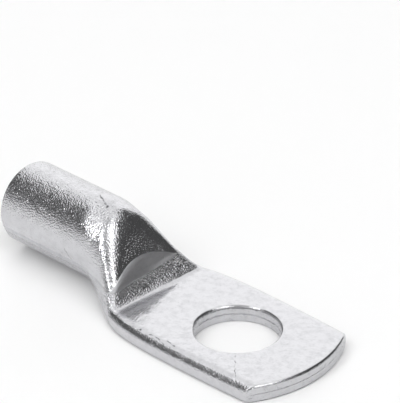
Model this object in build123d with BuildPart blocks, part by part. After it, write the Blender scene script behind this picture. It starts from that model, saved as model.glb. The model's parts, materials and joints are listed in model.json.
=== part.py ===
"""Tubular cable lug: a length of copper tube, open at one end for a wire, whose other end is
pressed flat into a palm with a stud hole.

Millimetres, +Z up. The origin is the centre of the stud hole on the palm's underside, +X points
to the palm's rounded tip and the barrel runs towards -X.
"""
import math
import os

from build123d import *

# Barrel, the round end that takes the wire
barrel_diameter = 8.4
wall = 1.05
mouth_to_hole = 29.05  # barrel mouth to the centre of the stud hole
barrel_lift = 0.52  # underside of the barrel over the underside of the palm
lead_in = 0.5  # radial width of the funnel inside the mouth
lead_in_depth = 0.85
mouth_bevel = 0.12  # outer rim of the mouth

# Palm, the flat end
palm_thickness = 1.75
palm_width = 14.5
palm_root_width = 12.45  # where the palm leaves the bend
palm_tip_width = 13.9  # between the corners of the tip
hole_diameter = 8.4  # clears an M8 stud
hole_to_tip = 9.75
tip_radius = 12.4
edge_round = 0.65  # folded upper edges of the palm, carried on over the ridge of the flare
under_bevel = 0.25  # folded lower edges, pressed sharp against the anvil
seam_width = 0.16  # groove where the two pressed walls meet at the cut tip
seam_depth = 0.1
seam_overrun = 4.0  # degrees that the groove's cutter turns past the corners of the tip

# Flare, where the tube is pressed from round to flat
bend_to_hole = 11.15  # bend line to the centre of the stud hole
flare_length = 7.45  # end of the round barrel to the bend line
press_angle = 60.0  # slope of the pressed face over the palm
bend_round = 0.7  # concave radius along the bend line
crown_round = 1.8  # radius over the top of the pressed face
punch_lift = 0.1  # how far the level part of the punch stays clear of the crown
inner_round = 0.1  # radius where the inside closes at the bend
crown_fall = 4.7  # how far the crown would fall where nothing trims it
side_sag = 4.3  # how far the sides would reach under the barrel where nothing trims them

# How the tube opens out along the flare. Each row gives the place between the end of the round
# barrel and the bend line, then how far the section has gone from round to pressed in its width,
# the height of its crown, its widest height and its underside.
flare_stages = [
    (0.0, 0.0, 0.0, 0.0, 0.0),
    (0.07, 0.0, 0.006, 0.01, 0.0),
    (0.2, 0.01, 0.05, 0.08, 0.0),
    (0.38, 0.07, 0.11, 0.36, 0.02),
    (0.56, 0.24, 0.2, 0.7, 0.16),
    (0.75, 0.57, 0.51, 0.97, 0.36),
    (0.97, 1.0, 0.85, 1.0, 0.62),
]

# The palm's outline, between the bend line and the tip: place, then how far it has widened from
# the root, then how far it has drawn in towards the tip, with its crown and underside as above.
palm_stages = [
    (0.08, 0.62, 0.0, 0.97, 0.86),
    (0.15, 0.82, 0.0, 1.0, 1.0),
    (0.3, 1.0, 0.0, 1.0, 1.0),
    (0.48, 1.0, 0.0, 1.0, 1.0),
    (0.72, 1.0, 0.4, 1.0, 1.0),
    (0.91, 1.0, 1.0, 1.0, 1.0),
    (1.06, 1.0, 1.6, 1.0, 1.0),
]

barrel_radius = barrel_diameter / 2
axis_z = barrel_lift + barrel_radius
crown_z = axis_z + barrel_radius
punch_z = crown_z + punch_lift
pressed_wall = palm_thickness / 2
bend_x = -bend_to_hole
flare_x = bend_x - flare_length
barrel_length = mouth_to_hole + flare_x
tip_centre_x = hole_to_tip - tip_radius
slope = math.radians(press_angle)
overcut = 2.0  # how far cutting shapes reach past the metal


def between(first, last, share):
    """The value at a share of the way from first to last."""
    return first + (last - first) * share


def tube_section(x, width, widest_z, top_z, keel_z):
    """Section across the tube: half an ellipse over its widest height and half one under it."""
    with BuildSketch(Plane(origin=(x, 0, widest_z), x_dir=(0, 1, 0), z_dir=(1, 0, 0))) as sketch:
        with BuildLine():
            EllipticalCenterArc((0, 0), width / 2, top_z - widest_z, start_angle=0, arc_size=180)
            EllipticalCenterArc((0, 0), width / 2, widest_z - keel_z, start_angle=180, arc_size=180)
        make_face()
    return sketch.sketch


def tube_sections(inset):
    """Every section of the tube's outer surface, or of its inner one when inset is the wall."""
    sections = []
    for place, spread, fall, widest, sag in flare_stages:
        x = between(flare_x, bend_x, place)
        width = between(barrel_diameter, palm_root_width, spread)
        widest_z = between(axis_z, pressed_wall, widest)
        sections.append((x, width, widest_z, fall, sag))
    for place, widened, drawn_in, fall, sag in palm_stages:
        x = between(bend_x, hole_to_tip, place)
        width = between(palm_root_width, palm_width, widened) - (palm_width - palm_tip_width) * drawn_in
        sections.append((x, width, pressed_wall, fall, sag))
    return [
        tube_section(
            x,
            width - 2 * inset,
            widest_z,
            crown_z - crown_fall * fall - inset,
            barrel_lift - side_sag * sag + inset,
        )
        for x, width, widest_z, fall, sag in sections
    ]


def punch_profile(foot_x, foot_z, top_z, foot_round, top_round):
    """Side view of what the punch presses away over the palm and the flare."""
    top_x = foot_x - (top_z - foot_z) / math.tan(slope)
    clear_z = punch_z + overcut
    with BuildSketch(Plane.XZ) as sketch:
        with BuildLine():
            face = FilletPolyline(
                (hole_to_tip + overcut, foot_z),
                (foot_x, foot_z),
                (top_x, top_z),
                (flare_x - overcut, top_z),
                radius=(foot_round, top_round),
            )
            Polyline(face @ 1, (flare_x - overcut, clear_z), (hole_to_tip + overcut, clear_z), face @ 0)
        make_face()
    return sketch.sketch


barrel_plane = Plane(origin=(-mouth_to_hole, 0, axis_z), x_dir=(0, 1, 0), z_dir=(1, 0, 0))
# The sloping wall's inner face lies one wall under its outer face and ends in the pressed seam
inner_bend_x = bend_x - (wall - pressed_wall * math.cos(slope)) / math.sin(slope)

with BuildPart() as cavity:
    # Inside of the tube: round in the barrel, then closing to a slit under the pressed face
    loft(tube_sections(wall))
    extrude(
        punch_profile(inner_bend_x, pressed_wall, punch_z - wall, inner_round, crown_round - wall),
        amount=palm_width,
        both=True,
        mode=Mode.SUBTRACT,
    )
    split(bisect_by=Plane.XY.offset(pressed_wall), keep=Keep.TOP)
    with BuildSketch(barrel_plane):
        Circle(barrel_radius - wall)
    extrude(amount=barrel_length)

with BuildPart() as cable_lug:
    # Outer surface from the end of the round barrel to past the tip, trimmed by the press
    loft(tube_sections(0))
    extrude(
        punch_profile(bend_x, palm_thickness, punch_z, bend_round, crown_round),
        amount=palm_width,
        both=True,
        mode=Mode.SUBTRACT,
    )
    split(bisect_by=Plane.XY, keep=Keep.TOP)

    # Folded edges: the upper ones run on over the ridge of the flare, the lower ones under it
    palm_top = cable_lug.faces().filter_by(Plane.XY).sort_by(Axis.Z)[-1]
    fillet(palm_top.edges().filter_by(GeomType.BSPLINE), edge_round)
    underside = cable_lug.faces().filter_by(Plane.XY).sort_by(Axis.Z)[0]
    chamfer(underside.edges().filter_by(GeomType.BSPLINE), under_bevel)

    # Tip cut to its arc, with the line where the two pressed walls meet
    with BuildSketch(Plane.XY):
        with Locations((hole_to_tip, 0)):
            Rectangle(2 * (hole_to_tip - tip_centre_x - overcut), 2 * palm_width)
        with Locations((tip_centre_x, 0)):
            Circle(tip_radius, mode=Mode.SUBTRACT)
    extrude(amount=palm_thickness, mode=Mode.SUBTRACT)
    half_turn = math.degrees(math.asin(palm_width / 2 / tip_radius)) + seam_overrun
    outwards = Vector(1, 0, 0).rotate(Axis.Z, -half_turn)
    with BuildSketch(Plane((tip_centre_x, 0, 0), x_dir=outwards, z_dir=outwards.cross(Vector(0, 0, 1)))):
        with BuildLine():
            Polyline(
                (tip_radius + seam_depth, pressed_wall + seam_width),
                (tip_radius - seam_depth, pressed_wall),
                (tip_radius + seam_depth, pressed_wall - seam_width),
                close=True,
            )
        make_face()
    revolve(axis=Axis((tip_centre_x, 0, 0), (0, 0, 1)), revolution_arc=2 * half_turn, mode=Mode.SUBTRACT)

    # Round barrel, and the inside of the tube
    with BuildSketch(barrel_plane):
        Circle(barrel_radius)
    extrude(amount=barrel_length)
    add(cavity.part, mode=Mode.SUBTRACT)

    # Funnel and rim of the mouth
    mouth = cable_lug.faces().sort_by(Axis.X)[0]
    chamfer(mouth.edges().sort_by(SortBy.LENGTH)[0], length=lead_in, length2=lead_in_depth)
    mouth = cable_lug.faces().sort_by(Axis.X)[0]
    chamfer(mouth.edges().sort_by(SortBy.LENGTH)[-1], mouth_bevel)

    # Stud hole
    with Locations((0, 0, palm_thickness)):
        Hole(hole_diameter / 2, depth=2 * palm_thickness)

os.makedirs("parts", exist_ok=True)
cable_lug.part.label = "cable_lug"
export_step(cable_lug.part, "parts/cable_lug.step")
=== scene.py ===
"""Looks of the tubular cable lug: its pressed and sheared skin, its tin plating and a plain studio.

Sizes are in metres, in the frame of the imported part: the origin is the centre of the stud hole on
the palm's underside, +Z is up, +X points to the palm's tip and the barrel runs towards -X.
"""
import json
import math

import bmesh
import bpy
import numpy as np
from mathutils import Matrix, Vector


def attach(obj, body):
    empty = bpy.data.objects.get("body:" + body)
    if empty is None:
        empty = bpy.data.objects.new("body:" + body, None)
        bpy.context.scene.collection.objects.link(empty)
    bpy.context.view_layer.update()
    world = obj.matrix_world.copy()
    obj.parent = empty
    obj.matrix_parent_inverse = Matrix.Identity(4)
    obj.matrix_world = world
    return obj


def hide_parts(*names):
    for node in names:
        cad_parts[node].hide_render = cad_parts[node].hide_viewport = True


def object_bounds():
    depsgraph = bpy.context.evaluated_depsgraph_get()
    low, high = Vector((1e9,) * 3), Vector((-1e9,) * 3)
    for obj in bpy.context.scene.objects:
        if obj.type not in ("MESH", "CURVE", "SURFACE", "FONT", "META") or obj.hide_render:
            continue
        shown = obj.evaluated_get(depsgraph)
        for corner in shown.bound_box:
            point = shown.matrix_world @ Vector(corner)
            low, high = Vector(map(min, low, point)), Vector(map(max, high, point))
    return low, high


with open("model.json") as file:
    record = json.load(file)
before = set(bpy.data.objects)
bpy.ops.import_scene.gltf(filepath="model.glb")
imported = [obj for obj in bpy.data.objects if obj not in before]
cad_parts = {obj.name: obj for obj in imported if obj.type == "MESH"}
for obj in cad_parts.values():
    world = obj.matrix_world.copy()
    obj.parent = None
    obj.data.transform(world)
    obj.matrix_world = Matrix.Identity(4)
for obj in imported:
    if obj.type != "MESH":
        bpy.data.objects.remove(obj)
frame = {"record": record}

bl_info = {
    "name": "Tubular cable lug",
    "version": (1, 0, 0),
    "blender": (4, 5, 0),
    "location": "View3D > Sidebar > Cable lug",
    "description": "Builds a tinned tubular cable lug with its flare, sheared palm and finish",
    "category": "Object",
}

MM = 0.001
TINY = 1e-12  # keeps a division from nought
LEVEL = 1e-9  # heights nearer than this are the same
MERGE = 1e-7  # points nearer than this are one
THINNEST_EDGE = 1e-8
NODE = "cable_lug"

cad_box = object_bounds()
mounts = {mount["name"]: mount for mount in frame["record"]["mounts"]}
stud_hole = mounts["stud_hole"]["dims"]
barrel_mouth = mounts["wire_barrel"]["pos_m"]

# How the tube opens out from the end of the round barrel to past the tip. Each row gives the place
# (0 to 1 along the flare, 1 to 2 along the palm), then how far the section has gone from the
# barrel's width to the width at the bend, how far it has widened past the bend, how far it has
# drawn in towards the tip, and how far its crown, its widest height and its underside have moved.
STATIONS = np.array([
    (0.00, 0.00, 0.00, 0.0, 0.000, 0.00, 0.00),
    (0.07, 0.00, 0.00, 0.0, 0.006, 0.01, 0.00),
    (0.20, 0.01, 0.00, 0.0, 0.050, 0.08, 0.00),
    (0.38, 0.07, 0.00, 0.0, 0.110, 0.36, 0.02),
    (0.56, 0.24, 0.00, 0.0, 0.200, 0.70, 0.16),
    (0.75, 0.57, 0.00, 0.0, 0.510, 0.97, 0.36),
    (0.97, 1.00, 0.00, 0.0, 0.850, 1.00, 0.62),
    (1.08, 1.00, 0.62, 0.0, 0.970, 1.00, 0.86),
    (1.15, 1.00, 0.82, 0.0, 1.000, 1.00, 1.00),
    (1.30, 1.00, 1.00, 0.0, 1.000, 1.00, 1.00),
    (1.48, 1.00, 1.00, 0.0, 1.000, 1.00, 1.00),
    (1.72, 1.00, 1.00, 0.4, 1.000, 1.00, 1.00),
    (1.91, 1.00, 1.00, 1.0, 1.000, 1.00, 1.00),
    (2.06, 1.00, 1.00, 1.6, 1.000, 1.00, 1.00),
])

# Dent left in the pressed face by the punch's edge: height of its lower edge over the middle and
# its rise to the side, height of its upper edge over the middle and its fall with the square of the
# distance from the middle, and the height where the face is whole again
DENT_LOW = 3.15 * MM
DENT_TILT = 0.07
DENT_HIGH = 4.55 * MM
DENT_CURVE = 0.065 / MM
DENT_END = 8.4 * MM
DENT_ROUND = 0.06 * MM  # rounding of both edges

# Where the trough along the bend fades out: shares of the palm's thickness on its side, heights up
# the pressed face, and places across the palm
TROUGH_SIDE = (0.5, 0.9)
TROUGH_HEIGHT = (3.2 * MM, 2.0 * MM)
TROUGH_ACROSS = (3.5 * MM, -2.0 * MM)

# Rings from the hole's edge to the palm's outline, as shares of the way, outermost first
PALM_RINGS = np.array(
    (0.985, 0.95, 0.88, 0.8, 0.72, 0.64, 0.56, 0.48, 0.4, 0.32, 0.24, 0.17, 0.1, 0.05, 0.015, 0))
# Rows down the wall of the hole as shares of the thickness, and down the tip's face as shares of
# the way, with the share of the seam's depth at each row of either
HOLE_ROWS = np.array((0.88, 0.75, 0.6, 0.54, 0.5, 0.46, 0.4, 0.25, 0.12))
TIP_ROWS = np.array((0.1, 0.3, 0.43, 0.47, 0.5, 0.53, 0.57, 0.7, 0.9))
SEAM_DIP = np.array((0, 0, 0, 0.35, 1, 0.35, 0, 0, 0))
UNDER_ROLL = 0.4  # roll of the hole's lower edge, as a share of the upper one's
FUNNEL_ROWS = np.array((0.05, 0.5, 0.95, 1.0))  # shares of the funnel's depth


class LugSizes(bpy.types.PropertyGroup):
    """Sizes of the lug that a user would change."""

    barrel_radius: bpy.props.FloatProperty(
        name="Barrel radius", description="Outer radius of the round barrel",
        default=4.2 * MM, min=MM, subtype="DISTANCE", unit="LENGTH")
    wall: bpy.props.FloatProperty(
        name="Wall", description="Thickness of the tube's wall",
        default=1.05 * MM, min=0.1 * MM, subtype="DISTANCE", unit="LENGTH")
    hole_radius: bpy.props.FloatProperty(
        name="Stud hole radius", description="Radius of the hole in the palm",
        default=stud_hole["r_mm"] * MM, min=MM, subtype="DISTANCE", unit="LENGTH")
    palm_thickness: bpy.props.FloatProperty(
        name="Palm thickness", description="Both walls of the tube pressed together",
        default=stud_hole["length_mm"] * MM, min=0.5 * MM, subtype="DISTANCE", unit="LENGTH")
    palm_width: bpy.props.FloatProperty(
        name="Palm width", description="Greatest width of the palm",
        default=14.5 * MM, min=5 * MM, subtype="DISTANCE", unit="LENGTH")
    root_width: bpy.props.FloatProperty(
        name="Root width", description="Width of the palm where it leaves the bend",
        default=12.45 * MM, min=5 * MM, subtype="DISTANCE", unit="LENGTH")
    tip_width: bpy.props.FloatProperty(
        name="Tip width", description="Width of the palm between the corners of its tip",
        default=13.9 * MM, min=5 * MM, subtype="DISTANCE", unit="LENGTH")
    tip_radius: bpy.props.FloatProperty(
        name="Tip radius", description="Radius of the sheared tip",
        default=12.4 * MM, min=5 * MM, subtype="DISTANCE", unit="LENGTH")
    bend_to_hole: bpy.props.FloatProperty(
        name="Bend to hole", description="Bend line to the centre of the stud hole",
        default=11.15 * MM, min=5 * MM, subtype="DISTANCE", unit="LENGTH")
    flare_length: bpy.props.FloatProperty(
        name="Flare length", description="End of the round barrel to the bend line",
        default=7.45 * MM, min=2 * MM, subtype="DISTANCE", unit="LENGTH")
    press_angle: bpy.props.FloatProperty(
        name="Press angle", description="Slope of the pressed face over the palm",
        default=math.radians(59), min=0.5, max=1.5, subtype="ANGLE", unit="ROTATION")
    crown_fall: bpy.props.FloatProperty(
        name="Crown fall", description="How far the crown would fall where nothing trims it",
        default=4.7 * MM, min=0.0, subtype="DISTANCE", unit="LENGTH")
    side_sag: bpy.props.FloatProperty(
        name="Side sag", description="How far the sides would reach under the barrel untrimmed",
        default=4.3 * MM, min=0.0, subtype="DISTANCE", unit="LENGTH")
    bend_reach: bpy.props.FloatProperty(
        name="Bend rounding", description="How far the hollow along the bend line is rounded",
        default=0.95 * MM, min=0.05 * MM, subtype="DISTANCE", unit="LENGTH")
    crown_round: bpy.props.FloatProperty(
        name="Crown rounding", description="Radius over the top of the pressed face",
        default=2.4 * MM, min=0.05 * MM, subtype="DISTANCE", unit="LENGTH")
    punch_lift: bpy.props.FloatProperty(
        name="Punch lift", description="How far the punch's level part stays clear of the crown",
        default=0.1 * MM, min=0.0, subtype="DISTANCE", unit="LENGTH")
    edge_reach: bpy.props.FloatProperty(
        name="Edge rounding", description="How far the folded upper edges are rounded",
        default=0.85 * MM, min=0.05 * MM, subtype="DISTANCE", unit="LENGTH")
    ridge_reach: bpy.props.FloatProperty(
        name="Ridge rounding", description="How far the ridge of the flare is rounded at its crown",
        default=1.55 * MM, min=0.05 * MM, subtype="DISTANCE", unit="LENGTH")
    under_reach: bpy.props.FloatProperty(
        name="Lower edge rounding", description="How far the folded lower edges are rounded",
        default=0.3 * MM, min=0.05 * MM, subtype="DISTANCE", unit="LENGTH")
    shear_round: bpy.props.FloatProperty(
        name="Sheared edge", description="Roll of the sheared edges at the tip and the hole",
        default=0.22 * MM, min=0.01 * MM, subtype="DISTANCE", unit="LENGTH")
    trough_depth: bpy.props.FloatProperty(
        name="Trough depth", description="Depth of the shallow trough in the palm along the bend",
        default=0.19 * MM, min=0.0, subtype="DISTANCE", unit="LENGTH")
    trough_length: bpy.props.FloatProperty(
        name="Trough length", description="How far the trough reaches on to the palm",
        default=2.3 * MM, min=0.1 * MM, subtype="DISTANCE", unit="LENGTH")
    seam_depth: bpy.props.FloatProperty(
        name="Seam depth", description="Depth of the line between the two pressed walls",
        default=0.04 * MM, min=0.0, subtype="DISTANCE", unit="LENGTH")
    dent_slope: bpy.props.FloatProperty(
        name="Dent slope", description="How fast the dent in the pressed face deepens with height",
        default=0.22, min=0.0, max=1.0)
    rim_round: bpy.props.FloatProperty(
        name="Rim rounding", description="Radius of the mouth's outer rim",
        default=0.15 * MM, min=0.01 * MM, subtype="DISTANCE", unit="LENGTH")
    lead_in: bpy.props.FloatProperty(
        name="Lead-in width", description="Radial width of the funnel inside the mouth",
        default=0.5 * MM, min=0.0, subtype="DISTANCE", unit="LENGTH")
    lead_in_depth: bpy.props.FloatProperty(
        name="Lead-in depth", description="Depth of the funnel inside the mouth",
        default=0.85 * MM, min=0.0, subtype="DISTANCE", unit="LENGTH")


class TinFinish(bpy.types.PropertyGroup):
    """Colours and gloss of the tin plating."""

    tin_colour: bpy.props.FloatVectorProperty(
        name="Tin colour", description="Reflected colour of the clean plating",
        default=(0.62, 0.62, 0.64), min=0.0, max=1.0, subtype="COLOR")
    # Also the colour that the specks on the sheared walls of the hole and the tip are darkened
    # towards, as painted shade
    worn_and_shaded_colour: bpy.props.FloatVectorProperty(
        name="Worn colour", description="Reflected colour where the plating is dull",
        default=(0.46, 0.46, 0.48), min=0.0, max=1.0, subtype="COLOR")
    roughness: bpy.props.FloatProperty(
        name="Roughness", description="Roughness of the clean plating",
        default=0.13, min=0.0, max=1.0)
    nick_colour: bpy.props.FloatVectorProperty(
        name="Nick colour", description="Reflected colour in the nicks and scratches",
        default=(0.16, 0.16, 0.17), min=0.0, max=1.0, subtype="COLOR")
    grain_depth: bpy.props.FloatProperty(
        name="Grain depth", description="Depth of the fine grain of the plating",
        default=0.03 * MM, min=0.0, subtype="DISTANCE", unit="LENGTH")


class StudioSettings(bpy.types.PropertyGroup):
    """Floor, light and camera."""

    floor_colour: bpy.props.FloatVectorProperty(
        name="Floor colour", description="Colour of the floor", default=(0.93, 0.93, 0.93),
        min=0.0, max=1.0, subtype="COLOR")
    floor_width: bpy.props.FloatProperty(
        name="Floor width", description="Width of the floor", default=3.0, min=0.1,
        subtype="DISTANCE", unit="LENGTH")
    lamp_power: bpy.props.FloatProperty(
        name="Lamp power", description="Power of the soft lamp in watts", default=2.3, min=0.0)
    lens: bpy.props.FloatProperty(
        name="Lens", description="Focal length in millimetres", default=210.64, min=10.0)


def smooth_max(first, second, reach):
    """The greater of two heights. Where they differ by less than reach, the square of what is left
    of reach, over four times reach, is added, which rounds the corner between them."""
    left = np.maximum(reach - np.abs(first - second), 0)
    return np.maximum(first, second) + left ** 2 / (4 * reach)


def smooth_min(first, second, reach):
    """The lesser of two heights, rounded as smooth_max rounds."""
    return -smooth_max(-first, -second, reach)


def smooth_step(first, last, value):
    """0 up to first, 1 from last on, and 3 t squared less 2 t cubed between them."""
    share = np.clip((value - first) / (last - first), 0, 1)
    return share * share * (3 - 2 * share)


def spline(stations, values, places):
    """Cubic curve through the values at the stations, read at places. Its second derivatives are
    solved so that the slope runs on from piece to piece, level at the start."""
    step = np.diff(stations)
    rise = np.diff(values) / step
    count = len(stations)
    inner = np.arange(1, count - 1)
    matrix = np.zeros((count, count))
    matrix[0, 0] = step[0] / 3
    matrix[0, 1] = step[0] / 6
    matrix[inner, inner - 1] = step[:-1] / 6
    matrix[inner, inner] = (step[:-1] + step[1:]) / 3
    matrix[inner, inner + 1] = step[1:] / 6
    matrix[-1, -1] = 1
    bend = np.linalg.solve(matrix, np.concatenate(([rise[0]], np.diff(rise), [0])))
    piece = np.clip(np.searchsorted(stations, places) - 1, 0, count - 2)
    width = step[piece]
    before = np.clip((stations[piece + 1] - places) / width, 0, 1)
    after = 1 - before
    cubic = (before ** 3 - before) * bend[piece] + (after ** 3 - after) * bend[piece + 1]
    return before * values[piece] + after * values[piece + 1] + cubic * width ** 2 / 6


class Tube:
    """The lug's tube, as rows of cross sections from the tip to the mouth and back inside.

    A row is a section across X. Each table of the rows is a column, so that it goes with an array
    of points that has one line for each row."""

    half_columns = 112
    fine_rays = 700
    halvings = 40
    longest_ray = 12 * MM
    least_half_height = 0.02 * MM
    root_clearance = 1.1  # where the palm's rows start, as a share of the bend's rounding
    flare_overlap = 0.6 * MM  # how far the flare's close rows reach along the barrel
    inside_end = 0.7 * MM  # how far before the bend line the inside stops
    inside_round = 0.5 * MM
    rim_gap = 0.03 * MM  # between rows on both sides of an edge of the mouth
    bore_gap = 0.05 * MM
    spare_columns = 2  # level columns that stay with the skin next to a folded edge

    # Rows of each part. Those of the flare, barrel and throat count the one that they start from.
    palm_rows = 76
    flare_rows = 84
    barrel_rows = 22
    bore_rows = 8
    throat_rows = 46
    arc_rows = 6  # round a rolled or rounded edge, with both its ends

    def __init__(self, sizes):
        self.sizes = sizes
        self.mouth_x = cad_box[0].x
        self.tip_x = cad_box[1].x
        self.tip_centre_x = self.tip_x - sizes.tip_radius
        self.bend_x = -sizes.bend_to_hole
        self.flare_x = self.bend_x - sizes.flare_length
        self.axis_z = barrel_mouth[2]
        self.crown_z = self.axis_z + sizes.barrel_radius
        self.punch_z = self.crown_z + sizes.punch_lift
        punch_x = self.bend_x - (self.punch_z - sizes.palm_thickness) / math.tan(sizes.press_angle)
        self.arc_x = punch_x - sizes.crown_round * math.tan(sizes.press_angle / 2)
        self.arc_z = self.punch_z - sizes.crown_round
        self.seam_z = sizes.palm_thickness / 2
        bend_room = self.root_clearance * sizes.bend_reach
        self.root_x = self.bend_x + bend_room / math.sin(sizes.press_angle)
        self.station_x = np.where(
            STATIONS[:, 0] < 1,
            self.flare_x + sizes.flare_length * STATIONS[:, 0],
            self.bend_x + (self.tip_x - self.bend_x) * (STATIONS[:, 0] - 1))
        self.lay_rows()

    def sagitta(self, y):
        """How far the tip's arc falls back at a distance y from its middle: its radius less the
        other leg of the triangle of radius and y."""
        return self.sizes.tip_radius - np.sqrt(self.sizes.tip_radius ** 2 - y ** 2)

    def lay_rows(self):
        """Places of all rows, with the share of the tip's arc, the inset and whether they are
        outer rows, and for the rim, funnel and bore the radius of the circle."""
        sizes = self.sizes
        roll = np.radians(np.linspace(90, 0, self.arc_rows))[:-1]
        turn = np.radians(np.linspace(0, 90, self.arc_rows))[1:]
        flare_end = self.flare_x - self.flare_overlap
        palm = np.linspace(self.tip_x - sizes.shear_round, self.root_x, self.palm_rows)
        flare = np.linspace(self.root_x, flare_end, self.flare_rows)[1:]
        barrel = np.linspace(flare_end, self.mouth_x + sizes.rim_round, self.barrel_rows)[1:]
        rim_radius = sizes.barrel_radius - sizes.rim_round
        bore_radius = sizes.barrel_radius - sizes.wall
        funnel_radius = bore_radius + sizes.lead_in
        face = np.array((rim_radius - self.rim_gap, funnel_radius + self.rim_gap, funnel_radius))
        bore_start = self.mouth_x + sizes.lead_in_depth + self.bore_gap
        bore = np.linspace(bore_start, self.flare_x, self.bore_rows)
        throat = np.linspace(self.flare_x, self.bend_x - self.inside_end, self.throat_rows)[1:]
        parts = {
            "tip": (
                self.tip_x - sizes.shear_round * (1 - np.sin(roll)),
                sizes.shear_round * (1 - np.cos(roll)),
                0),
            "palm": (palm, 0, 0),
            "flare": (flare, 0, 0),
            "barrel": (barrel, 0, 0),
            "rim": (
                self.mouth_x + sizes.rim_round * (1 - np.sin(turn)),
                0,
                rim_radius + sizes.rim_round * np.cos(turn)),
            "face": (np.full(len(face), self.mouth_x), 0, face),
            "funnel": (
                self.mouth_x + sizes.lead_in_depth * FUNNEL_ROWS,
                0,
                bore_radius + sizes.lead_in * (1 - FUNNEL_ROWS)),
            "bore": (bore, 0, bore_radius),
            "throat": (throat, 0, 0),
        }
        self.first = {}
        tables = []
        count = 0
        for name, (x, inset, radius) in parts.items():
            self.first[name] = count
            count += len(x)
            columns = np.broadcast_arrays(x, inset, radius, float(name == "throat"))
            tables.append(np.stack(columns, axis=1))
        self.rows = count
        self.x, self.inset, self.radius, self.inside = np.concatenate(tables).T[:, :, None]
        self.arc_share = np.clip((self.x - self.root_x) / (self.tip_x - self.root_x), 0, 1)
        widest_y = sizes.tip_width / 2
        self.section_x = self.x - self.arc_share * self.sagitta(widest_y)
        self.lay_sections()

    def lay_sections(self):
        """Half width and widest, crown and underside heights of each row: splines through the
        stations, or the circle of the barrel before them. The rounding of the ridge grows with
        the height of the pressed face and shrinks to the punch's lift on the barrel, which so
        stays round."""
        sizes = self.sizes
        place = np.maximum(self.section_x, self.flare_x)
        spread, widened, drawn_in, fall, drop, sag = (
            spline(self.station_x, column, place) for column in STATIONS[:, 1:].T)
        half = sizes.barrel_radius + (sizes.root_width / 2 - sizes.barrel_radius) * spread
        half = half + (sizes.palm_width - sizes.root_width) / 2 * widened
        half = half - (sizes.palm_width - sizes.tip_width) / 2 * drawn_in
        wall = sizes.wall * self.inside
        circle = self.radius > 0
        self.half = np.where(circle, self.radius, half - wall)
        widest = self.axis_z + (self.seam_z - self.axis_z) * drop
        self.widest = np.where(circle, self.axis_z, widest)
        crown = self.crown_z - sizes.crown_fall * fall - wall
        self.crown = np.where(circle, self.axis_z + self.radius, crown)
        underside = self.axis_z - sizes.barrel_radius - sizes.side_sag * sag + wall
        self.keel = np.where(circle, self.axis_z - self.radius, underside)
        self.floor = self.seam_z * self.inside
        self.palm_top = sizes.palm_thickness - self.seam_z * self.inside
        self.press_shift = wall
        behind_bend = np.maximum(self.bend_x - self.section_x, 0)
        press_top = self.palm_top + behind_bend * math.tan(sizes.press_angle)
        top = np.minimum(self.crown, press_top)
        bottom = np.maximum(self.keel, self.floor)
        self.middle = (top + bottom) / 2
        self.half_height = np.maximum((top - bottom) / 2, self.least_half_height)
        rise = np.clip((press_top - self.palm_top) / (self.crown_z - sizes.palm_thickness), 0, 1)
        ridge = sizes.edge_reach + (sizes.ridge_reach - sizes.edge_reach) * rise
        crown_start = self.flare_x + sizes.crown_round / 2
        over_crown = smooth_step(crown_start, self.arc_x + sizes.crown_round, self.section_x)
        ridge = sizes.punch_lift + (ridge - sizes.punch_lift) * over_crown
        self.ridge = np.where(self.inside > 0, self.inside_round, ridge)

    def pressed_face(self, z):
        """Distance from the pressed face: from its slope, from its level top, or between them, in
        the sector that opens over the crown, from the arc that joins them."""
        sizes = self.sizes
        slope = (self.section_x - self.bend_x) * math.sin(sizes.press_angle)
        slope = slope + (z - sizes.palm_thickness) * math.cos(sizes.press_angle)
        across = self.section_x - self.arc_x
        up = z - self.arc_z
        lean = np.arctan2(across, up)
        arc = np.hypot(across, up) - sizes.crown_round
        on_arc = (lean > 0) & (lean < sizes.press_angle)
        return np.where(on_arc, arc, np.maximum(slope, z - self.punch_z))

    def dent(self, y, z):
        """Depth of the dent in the pressed face. It deepens evenly with height from its lower to
        its upper edge, a parabola, and comes out again evenly from there to its end. Both edges
        are rounded."""
        low = DENT_LOW + DENT_TILT * y
        high = np.maximum(DENT_HIGH - DENT_CURVE * y ** 2, low)
        deepest = self.sizes.dent_slope * (high - low)
        leaving = deepest * np.clip((DENT_END - z) / (DENT_END - high), 0, 1)
        deepening = smooth_max(self.sizes.dent_slope * (z - low), 0, DENT_ROUND)
        return smooth_min(deepening, leaving, DENT_ROUND)

    def outside(self, y, z):
        """How far a point of each row lies outside the skin. The egg is a half ellipse over the
        widest height and one under it: the share of the way to it, less one, times that share over
        its gradient. The press leaves the lesser of the height over the palm and the distance from
        the pressed face. The skin is where the greater of egg, press and floor is nought."""
        sizes = self.sizes
        over = z - self.widest
        reach = np.where(over > 0, self.crown - self.widest, self.widest - self.keel)
        share = np.hypot(y / self.half, over / reach)
        gradient = np.hypot(y / self.half ** 2, over / reach ** 2)
        egg = (share - 1) * share / np.maximum(gradient, TINY)
        level = z - self.palm_top
        face = self.pressed_face(z) + self.press_shift + self.dent(y, z) * (1 - self.inside)
        pressed = smooth_min(level, face, sizes.bend_reach)
        skin = smooth_max(egg, pressed, self.ridge)
        skin = smooth_max(skin, self.floor - z, sizes.under_reach)
        return np.where(self.radius > 0, egg, skin) + self.inset

    def along_rays(self, angle):
        """Points where rays from the middle of each row meet the skin, by halving each ray."""
        near = np.zeros_like(angle)
        far = np.full_like(angle, self.longest_ray)
        cosine = np.cos(angle)
        sine = np.sin(angle)
        for _ in range(self.halvings):
            middle = (near + far) / 2
            out = self.outside(middle * cosine, self.middle + middle * sine) > 0
            far = np.where(out, middle, far)
            near = np.where(out, near, middle)
        return near * cosine, self.middle + near * sine

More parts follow.
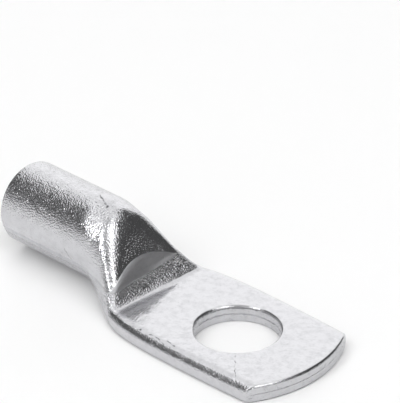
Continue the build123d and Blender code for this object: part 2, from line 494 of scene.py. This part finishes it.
    def half_outlines(self):
        """Right half of each section, from the middle of its underside to its crown. Fine rays are
        spread first, and the columns then share out half the length and half the turning. All rows
        are read off one table, where each row's totals lie two past those of the row before."""
        turn = np.linspace(-math.pi / 2, math.pi / 2, self.fine_rays)
        angle = np.arctan2(self.half_height * np.sin(turn), self.half * np.cos(turn))
        y, z = self.along_rays(angle)
        across = np.diff(y, axis=1)
        rise = np.diff(z, axis=1)
        length = np.hypot(across, rise)
        heading = np.unwrap(np.arctan2(rise, across), axis=1)
        bend = np.abs(np.diff(heading, axis=1, prepend=heading[:, :1]))
        weight = length / length.sum(axis=1, keepdims=True) + bend / math.pi
        total = np.cumsum(np.pad(weight, ((0, 0), (1, 0))), axis=1)
        total = total / total[:, -1:]
        row = 2.0 * np.arange(self.rows)[:, None]
        wanted = np.linspace(0, 1, self.half_columns + 1)[None]
        shared = np.interp((row + wanted).ravel(), (row + total).ravel(), angle.ravel())
        shared = shared.reshape(self.rows, -1)
        shared[:, 0] = -math.pi / 2
        shared[:, -1] = math.pi / 2
        return self.along_rays(shared)

    def points(self):
        """All points, one line for each row. The left half mirrors the right one, and the palm's
        rows bend with the tip's arc by their share of it."""
        y, z = self.half_outlines()
        y[:, 0] = 0
        y[:, -1] = 0
        y = np.concatenate((y, -y[:, -2:0:-1]), axis=1)
        z = np.concatenate((z, z[:, -2:0:-1]), axis=1)
        x = self.x - self.arc_share * self.sagitta(y)
        return np.stack((x, y, z), axis=2)

    def facing_columns(self):
        """Columns of the upper half of a row, and for each the column straight under it."""
        upper = np.arange(self.half_columns // 2, 3 * self.half_columns // 2 + 1)
        return upper, (self.half_columns - upper) % (2 * self.half_columns)


def grid_faces(index, closed=False):
    """Four-cornered faces between neighbouring lines and columns of a grid of vertex numbers."""
    if closed:
        index = np.concatenate((index, index[:, :1]), axis=1)
    corners = (index[:-1, :-1], index[:-1, 1:], index[1:, 1:], index[1:, :-1])
    return np.stack(corners, axis=2)


def palm_rings(tube, points, top_loop, bottom_loop, first_index):
    """Palm faces and the wall of the stud hole, as rings from the upper outline to the lower one.

    A ring on the palm is the circle of the hole's rolled edge plus a share of the way out to the
    outline, along each outline point's own direction. A ring on the wall is a circle, with a dip
    where the two pressed walls meet."""
    sizes = tube.sizes
    top = points.reshape(-1, 3)[top_loop]
    bottom = points.reshape(-1, 3)[bottom_loop]
    top_angle = np.arctan2(top[:, 1], top[:, 0])
    bottom_angle = np.arctan2(bottom[:, 1], bottom[:, 0])
    roll = np.radians(np.linspace(0, 90, tube.arc_rows))[1:]
    edge = sizes.hole_radius + sizes.shear_round
    thickness = sizes.palm_thickness
    under_roll = UNDER_ROLL * sizes.shear_round

    def palm_part(outline, angle, share, z):
        distance = np.hypot(outline[:, 0], outline[:, 1])
        radius = edge + share[:, None] * (distance - edge)
        heights = np.full_like(radius, z)
        return np.stack((radius * np.cos(angle), radius * np.sin(angle), heights), axis=2)

    radius = np.concatenate((
        edge - sizes.shear_round * np.sin(roll),
        sizes.hole_radius + sizes.seam_depth * SEAM_DIP,
        sizes.hole_radius + under_roll * (1 - np.cos(roll))))
    height = np.concatenate((
        thickness - sizes.shear_round * (1 - np.cos(roll)),
        thickness * HOLE_ROWS,
        under_roll * (1 - np.sin(roll))))
    blend = ((thickness - height) / thickness)[:, None]
    angle = top_angle + blend * np.angle(np.exp(1j * (bottom_angle - top_angle)))
    wall = np.stack((
        radius[:, None] * np.cos(angle),
        radius[:, None] * np.sin(angle),
        np.broadcast_to(height[:, None], angle.shape)), axis=2)
    rings = np.concatenate((
        palm_part(top, top_angle, PALM_RINGS, thickness),
        wall,
        palm_part(bottom, bottom_angle, PALM_RINGS[::-1][1:], 0.0)))
    index = first_index + np.arange(rings.shape[0] * rings.shape[1]).reshape(rings.shape[:2])
    index = np.concatenate((top_loop[None], index, bottom_loop[None]))
    return rings.reshape(-1, 3), grid_faces(index, closed=True).reshape(-1, 4)


def tip_face(tube, points, first_index):
    """Sheared face of the tip: straight lines from the upper to the lower outline, set on the
    tip's arc, with a dip where the two pressed walls meet."""
    sizes = tube.sizes
    upper, lower = tube.facing_columns()
    outline = points[0]
    share = TIP_ROWS[:, None]
    dip = sizes.seam_depth * SEAM_DIP[:, None]
    y = outline[upper, 1] * (1 - share) + outline[lower, 1] * share
    z = outline[upper, 2] * (1 - share) + outline[lower, 2] * share
    depth = (outline[upper, 2] - outline[lower, 2]) / sizes.palm_thickness
    x = tube.tip_centre_x + np.sqrt((sizes.tip_radius - dip * depth) ** 2 - y ** 2)
    face = np.stack((x, y, z), axis=2)
    index = first_index + np.arange(face.shape[0] * face.shape[1]).reshape(face.shape[:2])
    index = np.concatenate((upper[None], index, lower[None]))
    return face.reshape(-1, 3), grid_faces(index).reshape(-1, 4)


def flat_columns(tube, points):
    """How many columns each side of the middle are level on both faces of all the palm's rows."""
    first = tube.first["palm"]
    last = tube.first["flare"]
    palm = points[first:last, :tube.half_columns + 1, 2]
    on_top = np.all(np.abs(palm - tube.sizes.palm_thickness) < LEVEL, axis=0)
    on_floor = np.all(np.abs(palm) < LEVEL, axis=0)
    return min(np.count_nonzero(on_top), np.count_nonzero(on_floor)) - tube.spare_columns


def press_trough(sizes, vertices):
    """Lowers the upper side of the palm next to the bend, with the square of what is left of the
    trough's length, fading out past the middle and up the pressed face."""
    x, y, z = vertices.T
    left = np.clip((sizes.trough_length - sizes.bend_to_hole - x) / sizes.trough_length, 0, 1)
    upper = smooth_step(*TROUGH_SIDE, z / sizes.palm_thickness) * smooth_step(*TROUGH_HEIGHT, z)
    near = smooth_step(*TROUGH_ACROSS, y)
    return np.stack((x, y, z - sizes.trough_depth * left ** 2 * upper * near), axis=1)


def lug_surface(sizes):
    """Points and four-cornered faces of the whole lug: the tube's rows, without the level columns
    of the palm, then the palm's rings with the hole, the tip's face and the closed end inside."""
    tube = Tube(sizes)
    points = tube.points()
    half = tube.half_columns
    columns = 2 * half
    index = np.arange(tube.rows * columns).reshape(tube.rows, columns)
    first = tube.first["palm"]
    last = tube.first["flare"] - 1
    flat = flat_columns(tube, points)

    skin = grid_faces(index, closed=True)
    column = np.arange(columns) + 0.5
    level = (np.abs(column - half) < flat) | (np.minimum(column, columns - column) < flat)
    row = np.arange(tube.rows - 1)
    palm_row = (row >= first) & (row < last)
    skin = skin[~(palm_row[:, None] & level[None])]

    along = np.arange(last - 1, first, -1)
    sides = np.arange(-flat, flat + 1)

    def outline(middle, direction):
        root = index[last, (middle + direction * sides) % columns]
        left = index[along, (middle + direction * flat) % columns]
        tip = index[first, (middle - direction * sides) % columns]
        right = index[along[::-1], (middle - direction * flat) % columns]
        return np.concatenate((root, left, tip, right))

    rings, ring_faces = palm_rings(tube, points, outline(half, 1), outline(0, -1), index.size)
    tip, tip_faces = tip_face(tube, points, index.size + len(rings))
    upper, lower = tube.facing_columns()
    end_faces = grid_faces(np.stack((index[-1, lower], index[-1, upper]))).reshape(-1, 4)
    vertices = press_trough(sizes, np.concatenate((points.reshape(-1, 3), rings, tip)))
    turned = np.concatenate((ring_faces, tip_faces, end_faces))[:, ::-1]
    return vertices, np.concatenate((skin.reshape(-1, 4), turned))


def make_mesh(name, vertices, faces):
    """Mesh of the points and faces, with doubles merged and all faces smooth and outwards."""
    mesh = bpy.data.meshes.new(name)
    mesh.from_pydata(vertices.tolist(), [], faces.tolist())
    shell = bmesh.new()
    shell.from_mesh(mesh)
    bmesh.ops.remove_doubles(shell, verts=shell.verts, dist=MERGE)
    bmesh.ops.dissolve_degenerate(shell, edges=shell.edges, dist=THINNEST_EDGE)
    bmesh.ops.recalc_face_normals(shell, faces=shell.faces)
    shell.to_mesh(mesh)
    shell.free()
    mesh.polygons.foreach_set("use_smooth", np.ones(len(mesh.polygons), bool))
    mesh.update()
    return mesh


class Wire:
    """A socket of a node tree that can be used in sums, each of which adds a Math node."""

    def __init__(self, tree, socket):
        self.tree = tree
        self.socket = socket

    def math(self, operation, first, second):
        inputs = {0: first, 1: second}
        return add_node(self.tree, "ShaderNodeMath", {"operation": operation}, inputs)

    def __add__(self, other):
        return self.math("ADD", self, other)

    def __radd__(self, other):
        return self.math("ADD", other, self)

    def __sub__(self, other):
        return self.math("SUBTRACT", self, other)

    def __rsub__(self, other):
        return self.math("SUBTRACT", other, self)

    def __mul__(self, other):
        return self.math("MULTIPLY", self, other)

    def __rmul__(self, other):
        return self.math("MULTIPLY", other, self)

    def greatest(self, other):
        return self.math("MAXIMUM", self, other)


def add_node(tree, kind, settings, inputs, output=0):
    """Adds a node of a kind, makes its settings, then fills its inputs with values or wires."""
    node = tree.nodes.new(kind)
    for name, value in settings.items():
        setattr(node, name, value)
    for name, value in inputs.items():
        if isinstance(value, Wire):
            tree.links.new(value.socket, node.inputs[name])
        else:
            node.inputs[name].default_value = value
    return Wire(tree, node.outputs[output]) if len(node.outputs) else node


def mix_colours(tree, factor, first, second):
    """Colour between two colours by a factor."""
    inputs = {0: factor, 6: first, 7: second}
    return add_node(tree, "ShaderNodeMix", {"data_type": "RGBA"}, inputs, output=2)


def ease(tree, value, first, last):
    """0 to 1 as the value goes from first to last, eased at both ends."""
    settings = {"interpolation_type": "SMOOTHSTEP"}
    inputs = {"Value": value, "From Min": first, "From Max": last}
    return add_node(tree, "ShaderNodeMapRange", settings, inputs)


def vector_math(tree, operation, first, second=(0, 0, 0)):
    """Sum, product or direction of vectors, or a length, distance or dot product as a value."""
    output = "Value" if operation in ("LENGTH", "DISTANCE", "DOT_PRODUCT") else "Vector"
    inputs = {0: first, 1: second}
    return add_node(tree, "ShaderNodeVectorMath", {"operation": operation}, inputs, output=output)


def stroke(tree, place, start, end, width):
    """1 along the middle of a straight stroke from start to end, fading to 0 over its width. The
    nearest point of the stroke lies at the dot product along it, kept within its length."""
    start = Vector(start)
    along = Vector(end) - start
    reach = along.length
    direction = along / reach
    from_start = vector_math(tree, "SUBTRACT", place, tuple(start))
    distance = vector_math(tree, "DOT_PRODUCT", from_start, tuple(direction))
    along_it = add_node(tree, "ShaderNodeClamp", {}, {"Value": distance, "Min": 0.0, "Max": reach})
    inputs = {0: tuple(direction), "Scale": along_it}
    nearest = add_node(tree, "ShaderNodeVectorMath", {"operation": "SCALE"}, inputs)
    away = vector_math(tree, "DISTANCE", from_start, nearest)
    return ease(tree, away, width, 0.0)


def axis_value(tree, vector, name):
    """One coordinate of a vector."""
    return add_node(tree, "ShaderNodeSeparateXYZ", {}, {0: vector}, output=name)


def noise(tree, place, size, detail=2.0, roughness=0.5, output="Fac"):
    """Soft random pattern with humps of about a size, and finer ones on them by its detail."""
    inputs = {"Vector": place, "Scale": 1 / size, "Detail": detail, "Roughness": roughness}
    return add_node(tree, "ShaderNodeTexNoise", {}, inputs, output=output)


def weighted(masks, weights, total):
    """A first value plus each named mask times its weight."""
    for name, weight in weights.items():
        total = masks[name] * weight + total
    return total


# Nicks and scuffs of the plating, in millimetres: start, end and half width, then strength
NICKS = (
    ((-19.1, 0.3, 8.91), (-17.9, -0.2, 8.88), 0.13, 1.0),
    ((-18.0, -0.25, 8.85), (-17.0, -0.53, 8.7), 0.13, 0.9),
    ((-18.4, -0.9, 8.82), (-17.7, -1.1, 8.74), 0.09, 0.6),
    ((-19.5, -4.2, 4.4), (-18.8, -4.05, 3.6), 0.12, 0.7),
    ((-24.3, -2.0, 8.4), (-23.7, -1.9, 8.46), 0.1, 0.5),
    ((-6.8, -6.5, 1.74), (-6.6, -6.45, 1.75), 0.22, 1.0),
    ((2.8, -3.3, 1.75), (5.6, -6.1, 1.75), 0.06, 0.7),
    ((-5.2, -6.4, 1.75), (-3.9, -6.45, 1.75), 0.1, 0.7),
    ((-3.2, -6.2, 1.75), (-2.1, -6.35, 1.75), 0.09, 0.7),
    ((-12.6, 2.5, 4.3), (-12.25, 2.3, 3.6), 0.1, 0.8),
    ((-12.5, 2.9, 4.2), (-12.2, 2.8, 3.5), 0.1, 0.8),
)
NICK_WANDER = 0.5 * MM  # how far nicks stray from their straight lines
NICK_WANDER_SIZE = 0.6 * MM
NICK_BREAK_SIZE = 0.35 * MM
NICK_BREAKS = (0.15, 0.45)  # values of the pattern that breaks them up
PATTERN_MIDDLE = (0.5, 0.5, 0.5)  # mean colour of a pattern

# Zones of the skin, each given by where it starts and where it is whole: along X, in height, and as
# distances from the dent's edges or across the pressed face
FLARE_ZONE = (-10.6 * MM, -11.4 * MM)
STRETCHED_ZONE = (-19.3 * MM, -17.3 * MM)
FOLD_TOP = (1.72 * MM, 1.6 * MM)
FOLD_FOOT = (0.05 * MM, 0.2 * MM)
SHEAR_TOP = (1.6 * MM, 1.5 * MM)
SHEAR_SKIN = 0.06 * MM
DENT_FOOT_ZONE = (-0.1 * MM, 0.1 * MM)
DENT_TOP_ZONE = (-0.05 * MM, 0.1 * MM)
RUBBED_TOP = (0.55 * MM, 0.1 * MM)
RUBBED_NEAR = (1.0 * MM, -2.5 * MM)
RUBBED_FOOT = (0.3 * MM, 0.05 * MM)
RUBBED_FAR = (-1.0 * MM, 2.0 * MM)

# Patterns of the plating: sizes of their humps, the values where blotches and specks start and are
# whole, and the scales that draw streaks out up the sheared walls and across the dent
GRAIN_SIZE = 0.15 * MM
STRETCHED_GRAIN_SIZE = 0.14 * MM
SPECK_SIZE = 0.2 * MM
BLOTCH_SIZE = 0.8 * MM
WAVE_SIZE = 1.3 * MM
STREAK_SIZE = 0.14 * MM
DRAG_SIZE = 0.5 * MM
BLOTCH_LEVELS = (0.4, 0.72)
SPECK_LEVELS = (0.58, 0.78)
UPRIGHT = (1, 1, 0.12)
SIDEWAYS = (1, 0.1, 1)

# What the masks add to the wear and roughness of the plating and to the painted shade on its
# sheared walls, to the depth of its grain, and to the height of the skin as a share of the grain's
# depth
GRAIN_OF_BARREL = 1.55
GRAIN_OF_SPECKS = 0.3
GRAIN_EVERYWHERE = 0.22
ROUGHER = {"blotches": 0.06, "dent": 0.22, "rubbed": 0.2, "foot": 0.09, "sheared": 0.1}
GRAINIER = {"rough skin": 0.78, "foot": 1.1, "sheared": 0.4}
HIGHER = {"grain": 1.0, "waves": 1.1, "streaks": 1.5, "drags": 3.0, "nicks": -1.6}
WORN_BLOTCHES = 0.4
WORN_SPECKS = 0.25
# Painted shade: how much further the specks on the sheared walls of the hole and the tip are
# darkened
SHEARED_WALL_SHADE = 0.6


def nick_mask(tree, place):
    """1 in the nicks, which wander off their straight lines and are broken up by a pattern."""
    wander = noise(tree, place, NICK_WANDER_SIZE, output="Color")
    wander = vector_math(tree, "SUBTRACT", wander, PATTERN_MIDDLE)
    wander = vector_math(tree, "MULTIPLY", wander, (NICK_WANDER,) * 3)
    place_in_nick = vector_math(tree, "ADD", place, wander)
    nicks = 0.0
    for start, end, half_width, strength in NICKS:
        start = [MM * value for value in start]
        end = [MM * value for value in end]
        nicks = stroke(tree, place_in_nick, start, end, half_width * MM) * strength + nicks
    return nicks * ease(tree, noise(tree, place, NICK_BREAK_SIZE), *NICK_BREAKS)


def skin_masks(tree, place, sizes):
    """Masks of what the press and the shear have left: the dent and the foot of the pressed face
    under it, the rubbed parts of the dent, the rough skin of the flare and of the palm's folded
    sides, the stretched skin past the barrel, and the sheared walls of the hole and the tip."""
    along = axis_value(tree, place, "X")
    across = axis_value(tree, place, "Y")
    up = axis_value(tree, place, "Z")
    flare = ease(tree, along, *FLARE_ZONE)
    over_low = up - (across * DENT_TILT + DENT_LOW)
    under_high = DENT_HIGH - across * across * DENT_CURVE - up
    over_foot = ease(tree, over_low, *DENT_FOOT_ZONE)
    dent = flare * over_foot * ease(tree, under_high, *DENT_TOP_ZONE)
    rubbed = dent * ease(tree, under_high, *RUBBED_TOP) * ease(tree, across, *RUBBED_NEAR)
    rubbed = rubbed + dent * ease(tree, over_low, *RUBBED_FOOT) * ease(tree, across, *RUBBED_FAR)
    folded = ease(tree, up, *FOLD_TOP) * ease(tree, up, *FOLD_FOOT)

    level = vector_math(tree, "MULTIPLY", place, (1, 1, 0))
    from_hole = vector_math(tree, "LENGTH", level)
    hole_wall = ease(tree, from_hole, sizes.hole_radius + SHEAR_SKIN, sizes.hole_radius)
    from_tip = vector_math(tree, "DISTANCE", level, (cad_box[1].x - sizes.tip_radius, 0, 0))
    tip_wall = ease(tree, from_tip, sizes.tip_radius - SHEAR_SKIN, sizes.tip_radius)
    return {
        "dent": dent,
        "rubbed": rubbed,
        "foot": flare * (1 - over_foot),
        "rough skin": flare.greatest(folded) * (1 - dent),
        "stretched": ease(tree, along, *STRETCHED_ZONE),
        "sheared": (hole_wall + tip_wall) * ease(tree, up, *SHEAR_TOP),
    }


def tin_plating(finish, sizes):
    """Matt tin over copper: a grain that is coarser on the barrel than on the stretched flare and
    faint on the palm, soft waves, dull blotches and specks, nicks, a dent that the punch has
    rubbed smooth and dragged sideways, and upright streaks on the sheared walls, whose specks
    are painted darker there as painted shade."""
    material = bpy.data.materials.new("tin_plating")
    material.use_nodes = True
    tree = material.node_tree
    tree.nodes.clear()
    place = add_node(tree, "ShaderNodeTexCoord", {}, {}, output="Object")

    masks = skin_masks(tree, place, sizes)
    masks["nicks"] = nick_mask(tree, place)
    blotches = noise(tree, place, BLOTCH_SIZE, detail=5.0, roughness=0.65)
    masks["blotches"] = ease(tree, blotches, *BLOTCH_LEVELS)
    specks = ease(tree, noise(tree, place, SPECK_SIZE), *SPECK_LEVELS)
    # The specks on the sheared walls of the hole and the tip are darkened further: painted shade,
    # on top of the wear of the specks everywhere
    worn_and_shaded_specks = specks * (WORN_SPECKS + masks["sheared"] * SHEARED_WALL_SHADE)
    wear_and_shade = masks["blotches"] * WORN_BLOTCHES + worn_and_shaded_specks
    colour = mix_colours(tree, wear_and_shade, (*finish.tin_colour, 1), (*finish.worn_and_shaded_colour, 1))
    colour = mix_colours(tree, masks["nicks"], colour, (*finish.nick_colour, 1))
    roughness = weighted(masks, ROUGHER, finish.roughness)

    coarse_grain = noise(tree, place, GRAIN_SIZE, detail=0.0)
    stretched_grain = noise(tree, place, STRETCHED_GRAIN_SIZE, detail=0.0)
    grain = coarse_grain * (1 - masks["stretched"]) * GRAIN_OF_BARREL
    grain = grain + stretched_grain * masks["stretched"] + specks * GRAIN_OF_SPECKS
    masks["grain"] = grain * weighted(masks, GRAINIER, GRAIN_EVERYWHERE)
    masks["waves"] = noise(tree, place, WAVE_SIZE)
    upright = vector_math(tree, "MULTIPLY", place, UPRIGHT)
    masks["streaks"] = noise(tree, upright, STREAK_SIZE) * masks["sheared"]
    sideways = vector_math(tree, "MULTIPLY", place, SIDEWAYS)
    masks["drags"] = noise(tree, sideways, DRAG_SIZE) * masks["dent"]
    height = weighted(masks, HIGHER, 0.0) * finish.grain_depth
    inputs = {"Strength": 1.0, "Distance": 1.0, "Height": height}
    bump = add_node(tree, "ShaderNodeBump", {}, inputs)
    inputs = {"Base Color": colour, "Metallic": 1.0, "Roughness": roughness, "Normal": bump}
    shader = add_node(tree, "ShaderNodeBsdfPrincipled", {}, inputs)
    add_node(tree, "ShaderNodeOutputMaterial", {}, {"Surface": shader})
    return material


def matt_paint(name, colour):
    """Plain matt paint for the floor."""
    material = bpy.data.materials.new(name)
    material.use_nodes = True
    shader = material.node_tree.nodes["Principled BSDF"]
    shader.inputs["Base Color"].default_value = (*colour, 1)
    shader.inputs["Roughness"].default_value = 0.9
    shader.inputs["Specular IOR Level"].default_value = 0.0
    return material


def sine(degrees):
    """Sine of an angle in degrees."""
    return math.sin(math.radians(degrees))


def cosine(degrees):
    """Cosine of an angle in degrees."""
    return math.cos(math.radians(degrees))


def heading(azimuth, elevation):
    """Unit vector at an azimuth from +X towards +Y and an elevation over the floor, in degrees."""
    return (
        cosine(azimuth) * cosine(elevation),
        sine(azimuth) * cosine(elevation),
        sine(elevation))


# Soft panels of the room: azimuth of the middle, half width and fade in degrees, lowest and highest
# elevation and their fade in degrees, brightness
PANELS = (
    (125, 23, 14, -90, 28, 10, 1.23),
    (138, 26, 12, 36, 60, 8, 1.00),
    (0, 180, 0, 64, 90, 8, 0.54),
    (40, 62, 12, 62, 78, 6, 0.70),
    (178, 20, 10, 60, 68, 5, 0.95),
    (260, 5, 3, 34, 56, 6, 6.40),
    (225, 22, 10, 62, 70, 4, 1.00),
    (300, 75, 15, 46, 60, 8, 0.50),
    (357, 19, 6, 44, 68, 8, 1.90),
    (2, 10, 10, 22, 46, 10, 0.38),
    (215, 34, 14, -90, 10, 12, 0.50),
    (215, 34, 14, 12, 50, 10, 0.03),
    (265, 20, 12, -90, 20, 10, 0.50),
    (320, 35, 20, -90, 20, 12, 0.60),
)
DARK_ROOM = 0.09
HORIZON = (0.02, -0.02)  # sines of the elevations where the plain white starts and is whole
WHITE = (1, 1, 1, 1)

# Lamp over the near side of the lug: azimuth and elevation in degrees, distance and width in metres
LAMP_AZIMUTH = 300
LAMP_ELEVATION = 55
LAMP_DISTANCE = 0.9
LAMP_WIDTH = 0.7

# Camera, found from the lug's own outline: turn, lift and roll in degrees, place in metres
CAMERA_TURN = 44.913
CAMERA_LIFT = 28.556
CAMERA_ROLL = -0.597
CAMERA_PLACE = (0.132179, -0.137417, 0.119266)
SENSOR_WIDTH = 36
NEAREST_SEEN = 0.01
FLOOR_GAP = 0.00002  # keeps the floor clear of the palm's underside


def room_panel(tree, level, height, panel):
    """Brightness of one panel: eased over the cosine of the turn from its middle, times eased over
    the sine of the elevation from its lowest to its highest edge. A panel all round has no sides,
    and one that reaches straight up or down has no edge there."""
    azimuth, half_width, fade, low, high, rise_fade, brightness = panel
    light = brightness
    if half_width < 180:
        towards = vector_math(tree, "DOT_PRODUCT", level, heading(azimuth, 0))
        light = light * ease(tree, towards, cosine(half_width + fade), cosine(half_width))
    if high < 90:
        light = light * ease(tree, height, sine(high + rise_fade), sine(high))
    if low > -90:
        light = light * ease(tree, height, sine(low - rise_fade), sine(low))
    return light


def light_room(world):
    """Room round the lug: dark walls with soft bright panels, and plain white under the floor's
    horizon, as the floor goes on to it."""
    world.use_nodes = True
    tree = world.node_tree
    tree.nodes.clear()
    direction = add_node(tree, "ShaderNodeTexCoord", {}, {}, output="Generated")
    level = vector_math(tree, "MULTIPLY", direction, (1, 1, 0))
    level = vector_math(tree, "NORMALIZE", level)
    height = axis_value(tree, direction, "Z")
    light = DARK_ROOM
    for panel in PANELS:
        light = room_panel(tree, level, height, panel) + light
    below = ease(tree, height, *HORIZON)
    room = add_node(tree, "ShaderNodeBackground", {}, {"Color": WHITE, "Strength": light})
    plain = add_node(tree, "ShaderNodeBackground", {}, {"Color": WHITE, "Strength": 1.0})
    both = add_node(tree, "ShaderNodeMixShader", {}, {0: below, 1: room, 2: plain})
    add_node(tree, "ShaderNodeOutputWorld", {}, {"Surface": both})


class LUG_OT_skin(bpy.types.Operator):
    """Builds the lug in one piece: barrel, flare, palm, sheared edges, stud hole and mouth"""

    bl_idname = "cable_lug.skin"
    bl_label = "Lug"

    def execute(self, context):
        scene = context.scene
        mesh = make_mesh("lug_body", *lug_surface(scene.lug_sizes))
        mesh.materials.append(tin_plating(scene.tin_finish, scene.lug_sizes))
        lug = bpy.data.objects.new("lug_body", mesh)
        scene.collection.objects.link(lug)
        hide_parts(NODE)
        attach(lug, "root")
        return {"FINISHED"}


class LUG_OT_studio(bpy.types.Operator):
    """Sets up the floor, the soft light and the camera"""

    bl_idname = "cable_lug.studio"
    bl_label = "Studio"

    def execute(self, context):
        scene = context.scene
        studio = scene.lug_studio
        corner = studio.floor_width / 2
        mesh = bpy.data.meshes.new("floor")
        mesh.from_pydata(
            [(corner * x, corner * y, 0) for x, y in ((-1, -1), (1, -1), (1, 1), (-1, 1))],
            [], [(0, 1, 2, 3)])
        mesh.materials.append(matt_paint("floor_paint", studio.floor_colour))
        floor = bpy.data.objects.new("floor", mesh)
        floor.location.z = -FLOOR_GAP
        scene.collection.objects.link(floor)

        scene.world = bpy.data.worlds.new("studio_room")
        light_room(scene.world)

        lamp = bpy.data.lights.new("front_lamp", "AREA")
        lamp.shape = "DISK"
        lamp.size = LAMP_WIDTH
        lamp.energy = studio.lamp_power
        front_lamp = bpy.data.objects.new("front_lamp", lamp)
        towards = Vector(heading(LAMP_AZIMUTH, LAMP_ELEVATION))
        front_lamp.location = towards * LAMP_DISTANCE
        front_lamp.rotation_euler = towards.to_track_quat("Z", "Y").to_euler()
        front_lamp.visible_glossy = False
        scene.collection.objects.link(front_lamp)

        camera = bpy.data.objects.new("camera", bpy.data.cameras.new("camera"))
        camera.data.lens = studio.lens
        camera.data.sensor_width = SENSOR_WIDTH
        camera.data.clip_start = NEAREST_SEEN
        back = Vector(heading(CAMERA_TURN - 90, CAMERA_LIFT))
        right = Vector(heading(CAMERA_TURN, 0))
        tilted = right * cosine(CAMERA_ROLL) + back.cross(right) * sine(CAMERA_ROLL)
        axes = Matrix((tilted, back.cross(tilted), back)).transposed()
        camera.matrix_world = Matrix.Translation(CAMERA_PLACE) @ axes.to_4x4()
        scene.collection.objects.link(camera)
        scene.camera = camera

        scene.view_settings.view_transform = "Standard"
        return {"FINISHED"}


class LUG_PT_panel(bpy.types.Panel):
    """Lists the sizes, the finish and the steps"""

    bl_idname = "LUG_PT_panel"
    bl_label = "Tubular cable lug"
    bl_space_type = "VIEW_3D"
    bl_region_type = "UI"
    bl_category = "Cable lug"

    def draw(self, context):
        column = self.layout.column()
        for group in (context.scene.lug_sizes, context.scene.tin_finish, context.scene.lug_studio):
            for name in group.__annotations__:
                column.prop(group, name)
        for step in STEPS:
            column.operator(step.bl_idname)


STEPS = (LUG_OT_studio, LUG_OT_skin)
CLASSES = (LugSizes, TinFinish, StudioSettings, *STEPS, LUG_PT_panel)


def register():
    for kind in CLASSES:
        bpy.utils.register_class(kind)
    bpy.types.Scene.lug_sizes = bpy.props.PointerProperty(type=LugSizes)
    bpy.types.Scene.tin_finish = bpy.props.PointerProperty(type=TinFinish)
    bpy.types.Scene.lug_studio = bpy.props.PointerProperty(type=StudioSettings)


def unregister():
    del bpy.types.Scene.lug_studio
    del bpy.types.Scene.tin_finish
    del bpy.types.Scene.lug_sizes
    for kind in reversed(CLASSES):
        bpy.utils.unregister_class(kind)


def main():
    """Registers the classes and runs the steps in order."""
    register()
    bpy.ops.cable_lug.studio()
    bpy.ops.cable_lug.skin()


if __name__ == "__main__":
    main()
